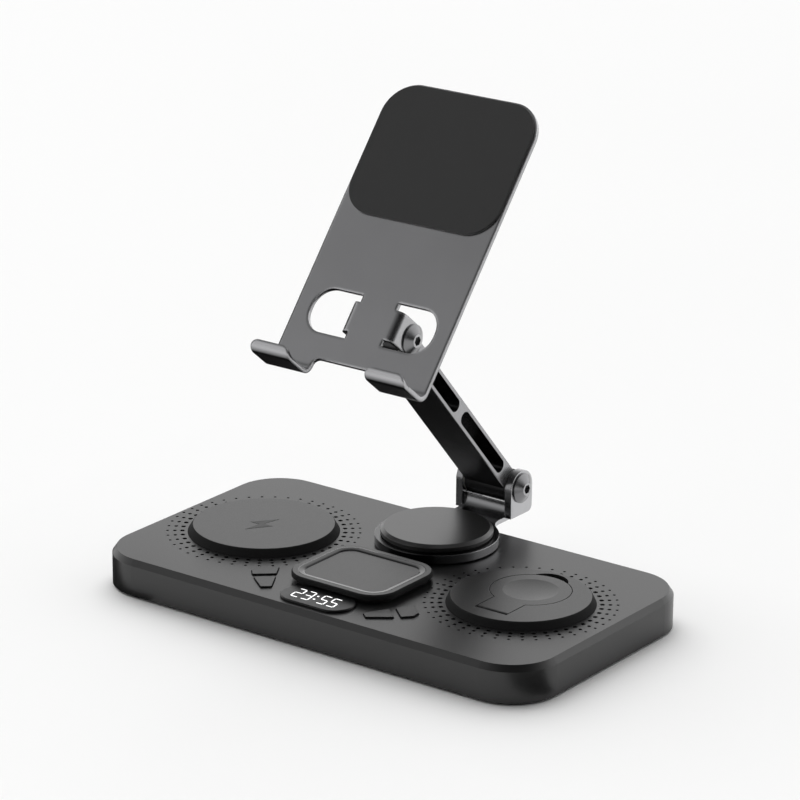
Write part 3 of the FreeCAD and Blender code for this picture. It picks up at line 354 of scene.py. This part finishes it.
LENS_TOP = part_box("display_lens")[1].z / MM
SEGMENTS = {"2": "abged", "3": "abgcd", "5": "afgcd"}
DIGIT = {"wide": 3.1, "top": -40.5, "foot": -47.8, "lean": -0.95, "stroke": 0.46, "gap": 0.1, "thick": 0.05}
COLON = {"rise": 1.5, "half": 0.4}
CLOCK = [("2", -9.5), ("3", -4.95), (":", 0.0), ("5", 2.2), ("5", 6.75)]


def leaning(points):
    """Tips upright points over as the clock's digits are."""
    tall = DIGIT["top"] - DIGIT["foot"]
    return [(x + DIGIT["lean"] * (y - DIGIT["foot"]) / tall, y) for x, y in points]


def bar(start, end):
    """A pointed segment between two places."""
    a, b = Vector(start), Vector(end)
    along = (b - a).normalized()
    across = Vector((-along.y, along.x)) * DIGIT["stroke"] / 2
    a, b = a + along * DIGIT["gap"], b - along * DIGIT["gap"]
    inset = along * DIGIT["stroke"] / 2
    points = [a, a + inset - across, b - inset - across, b, b - inset + across, a + inset + across]
    return [tuple(point) for point in points]


def clock_outlines():
    top, foot = DIGIT["top"], DIGIT["foot"]
    half = (top + foot) / 2
    square = [(COLON["half"] * x, COLON["half"] * y) for x, y in ((-1, -1), (1, -1), (1, 1), (-1, 1))]
    outlines = []
    for sign, x in CLOCK:
        if sign == ":":
            for y in (half + COLON["rise"], half - COLON["rise"]):
                outlines.append(leaning([(x + dx, y + dy) for dx, dy in square]))
            continue
        right = x + DIGIT["wide"]
        ends = {
            "a": ((x, top), (right, top)),
            "b": ((right, top), (right, half)),
            "c": ((right, half), (right, foot)),
            "d": ((x, foot), (right, foot)),
            "e": ((x, half), (x, foot)),
            "f": ((x, top), (x, half)),
            "g": ((x, half), (right, half)),
        }
        for name in SEGMENTS[sign]:
            outlines.append(leaning(bar(*ends[name])))
    return outlines


flat_piece(
    "clock_digits",
    clock_outlines(),
    LENS_TOP,
    DIGIT["thick"],
    lit("clock_light", (1.0, 1.0, 1.0), 1.0),
    "base",
)

PAD_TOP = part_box("left_pad")[1].z / MM
BOLT = [(2.2, 8.2), (-4.9, -0.8), (-0.7, -0.8), (-1.6, -8.2), (4.9, 0.8), (0.7, 0.8)]
BOLT_MIDDLE = (-60.0, -1.4)
BOLT_THICK = 0.04

flat_piece(
    "charging_sign",
    [[(BOLT_MIDDLE[0] + x, BOLT_MIDDLE[1] + y) for x, y in BOLT]],
    PAD_TOP,
    BOLT_THICK,
    glossy("sign_ink", (0.006, 0.006, 0.0062), 0.42, Specular_IOR_Level=0.38),
    "base",
)

TRAY = {"length": 46.0, "depth": 40.0, "corner": 10.5, "middle": (0.0, -17.0), "steps": 14}
# The ring's section, as distances inside the pad's edge and heights: its polished top, then back below it
RING_TOP = [
    (2.45, 18.705),
    (2.8, 18.675),
    (3.3, 18.612),
    (3.8, 18.54),
    (4.3, 18.462),
    (4.55, 18.39),
    (4.7, 18.27),
    (4.85, 18.165),
    (5.1, 18.12),
]
RING = RING_TOP + [(5.1, 18.1), (3.62, 18.1), (3.62, 18.43), (2.45, 18.69)]


def tray_outline(inset):
    """Points round the earbud pad, an even distance inside its edge."""
    radius = TRAY["corner"] - inset
    points = []
    for quarter, (side, end) in enumerate(((1, 1), (-1, 1), (-1, -1), (1, -1))):
        x = TRAY["middle"][0] + side * (TRAY["length"] / 2 - TRAY["corner"])
        y = TRAY["middle"][1] + end * (TRAY["depth"] / 2 - TRAY["corner"])
        for step in range(TRAY["steps"] + 1):
            angle = math.radians(90 * (quarter + step / TRAY["steps"]))
            points.append((x + radius * math.cos(angle), y + radius * math.sin(angle)))
    return points


def add_tray_ring(material):
    """A polished ring that eases the rim of the earbud tray down to its floor."""
    built = bmesh.new()
    loops = []
    for inset, height in RING:
        loops.append([built.verts.new((x * MM, y * MM, height * MM)) for x, y in tray_outline(inset)])
    count = len(loops[0])
    for index, loop in enumerate(loops):
        inner = loops[(index + 1) % len(loops)]
        for start in range(count):
            end = (start + 1) % count
            face = built.faces.new((loop[start], loop[end], inner[end], inner[start]))
            face.smooth = index < len(RING_TOP) - 1
    built.normal_update()
    ring = new_piece("tray_ring", built, material)
    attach(ring, "base")


add_tray_ring(moulded("ring_lacquer", PLASTIC, 0.14, grain=3400, depth=1e-6, edge=5e-5))


# Floor, light and camera

FLOOR_REACH = 6.0
# Dark cards beside the station: opposite corners, in millimetres
FLAGS = {
    "left_flag": ((-180, -60, 0.6), (-72, 120, 0.6)),
    "right_flag": ((104, -98, 0.6), (142, -32, 0.6)),
    "standing_flag": ((-175, -45, 92), (-175, 70, 190)),
}
# Brightness of the studio by the height of a direction
SKY = [(0.0, 1.0), (0.38, 0.95), (0.62, 0.5), (0.8, 0.15), (0.9, 0.14), (1.0, 0.28)]
# A direction's reach to the back, or to the dark side, from and to, and the strength there
BACK_STRENGTH = (-1.0, 1.0, 0.8, 1.6)
DARK_SIDE = (0.77, -0.64, 0.0)
DARK_STRENGTH = (0.28, 0.7, 1.0, 0.04)
SUN = {"towards": (0.5, -0.45, -1.0), "spread": 75, "power": 2.6}
# The photograph's camera: degrees, millimetres, metres and pixels
VIEW_ANGLES = (36.46, 18.999, 0.493)
VIEW_TARGET = (-32.814, 50.131, 60.0)
VIEW_DISTANCE = 1.480875
FOCAL_PIXELS = 3845.99
IMAGE_PIXELS = 800
SENSOR_WIDTH = 36.0


def add_floor():
    side = FLOOR_REACH
    mesh = bpy.data.meshes.new("floor")
    mesh.from_pydata([(-side, -side, 0), (side, -side, 0), (side, side, 0), (-side, side, 0)], [], [(0, 1, 2, 3)])
    look = Look("pale_floor", Roughness=0.9, Specular_IOR_Level=0.1)
    tone = look.noise(1.2, 2)
    look.feed("Base Color", look.ramp(tone, [(0.3, (0.86, 0.86, 0.858)), (0.7, (0.88, 0.88, 0.878))]))
    mesh.materials.append(look.material)
    floor = bpy.data.objects.new("floor", mesh)
    bpy.context.scene.collection.objects.link(floor)


def add_flag(name, low, high):
    """A dark card which only the station's gloss shows. It lies flat, or stands along Y."""
    (x0, y0, z0), (x1, y1, z1) = low, high
    if z0 == z1:
        corners = [low, (x1, y0, z0), high, (x0, y1, z0)]
    else:
        corners = [low, (x0, y0, z1), high, (x0, y1, z0)]
    mesh = bpy.data.meshes.new(name)
    mesh.from_pydata([Vector(corner) * MM for corner in corners], [], [(0, 1, 2, 3)])
    look = Look(name + "_card", Roughness=0.9, Specular_IOR_Level=0.0)
    look.feed("Base Color", look.ramp(look.noise(60, 2), [(0.3, (0.02, 0.02, 0.02)), (0.7, (0.03, 0.03, 0.03))]))
    mesh.materials.append(look.material)
    flag = bpy.data.objects.new(name, mesh)
    for kind in ("camera", "diffuse", "transmission", "volume_scatter", "shadow"):
        setattr(flag, "visible_" + kind, False)
    bpy.context.scene.collection.objects.link(flag)


def add_world():
    """A white studio, brightest behind the station, with a dim ceiling and a dark part at the front right."""
    world = bpy.data.worlds.new("studio")
    world.use_nodes = True
    bpy.context.scene.world = world
    tree = world.node_tree
    sky = tree.nodes["Background"]
    coord = tree.nodes.new("ShaderNodeTexCoord")
    split = tree.nodes.new("ShaderNodeSeparateXYZ")
    tree.links.new(coord.outputs["Generated"], split.inputs[0])
    height = tree.nodes.new("ShaderNodeValToRGB")
    band = height.color_ramp
    while len(band.elements) < len(SKY):
        band.elements.new(0.5)
    for element, (position, level) in zip(band.elements, SKY):
        element.position = position
        element.color = (level, level, level, 1)
    tree.links.new(split.outputs["Z"], height.inputs["Fac"])
    tree.links.new(height.outputs["Color"], sky.inputs["Color"])
    ahead = tree.nodes.new("ShaderNodeVectorMath")
    ahead.operation = "DOT_PRODUCT"
    ahead.inputs[1].default_value = DARK_SIDE
    tree.links.new(coord.outputs["Generated"], ahead.inputs[0])
    strength = tree.nodes.new("ShaderNodeMath")
    strength.operation = "MULTIPLY"
    sources = ((split.outputs["Y"], BACK_STRENGTH), (ahead.outputs["Value"], DARK_STRENGTH))
    for index, (output, span) in enumerate(sources):
        level = tree.nodes.new("ShaderNodeMapRange")
        for socket, number in zip(("From Min", "From Max", "To Min", "To Max"), span):
            level.inputs[socket].default_value = number
        tree.links.new(output, level.inputs["Value"])
        tree.links.new(level.outputs["Result"], strength.inputs[index])
    tree.links.new(strength.outputs[0], sky.inputs["Strength"])


def add_sun(name, towards, spread, power):
    """A very soft, even light from far away, which lights the floor and isn't mirrored."""
    lamp = bpy.data.lights.new(name, "SUN")
    lamp.angle = math.radians(spread)
    lamp.energy = power
    thing = bpy.data.objects.new(name, lamp)
    thing.rotation_mode = "QUATERNION"
    thing.rotation_quaternion = Vector(towards).to_track_quat("-Z", "Y")
    thing.visible_glossy = False
    bpy.context.scene.collection.objects.link(thing)


def add_camera():
    azimuth, elevation, roll = (math.radians(angle) for angle in VIEW_ANGLES)
    back = Vector(
        (math.sin(azimuth) * math.cos(elevation), -math.cos(azimuth) * math.cos(elevation), math.sin(elevation))
    )
    right = Vector((0, 0, 1)).cross(back).normalized()
    up = back.cross(right)
    tilted = right * math.cos(roll) + up * math.sin(roll)
    up = up * math.cos(roll) - right * math.sin(roll)
    place = Vector(VIEW_TARGET) * MM + back * VIEW_DISTANCE
    data = bpy.data.cameras.new("camera")
    data.sensor_width = SENSOR_WIDTH
    data.lens = SENSOR_WIDTH * FOCAL_PIXELS / IMAGE_PIXELS
    camera = bpy.data.objects.new("camera", data)
    camera.matrix_world = Matrix.Translation(place) @ Matrix((tilted, up, back)).transposed().to_4x4()
    bpy.context.scene.collection.objects.link(camera)
    bpy.context.scene.camera = camera


add_floor()
for name, (low, high) in FLAGS.items():
    add_flag(name, low, high)
add_world()
add_sun("soft_key", **SUN)
add_camera()
bpy.context.scene.view_settings.view_transform = "Standard"
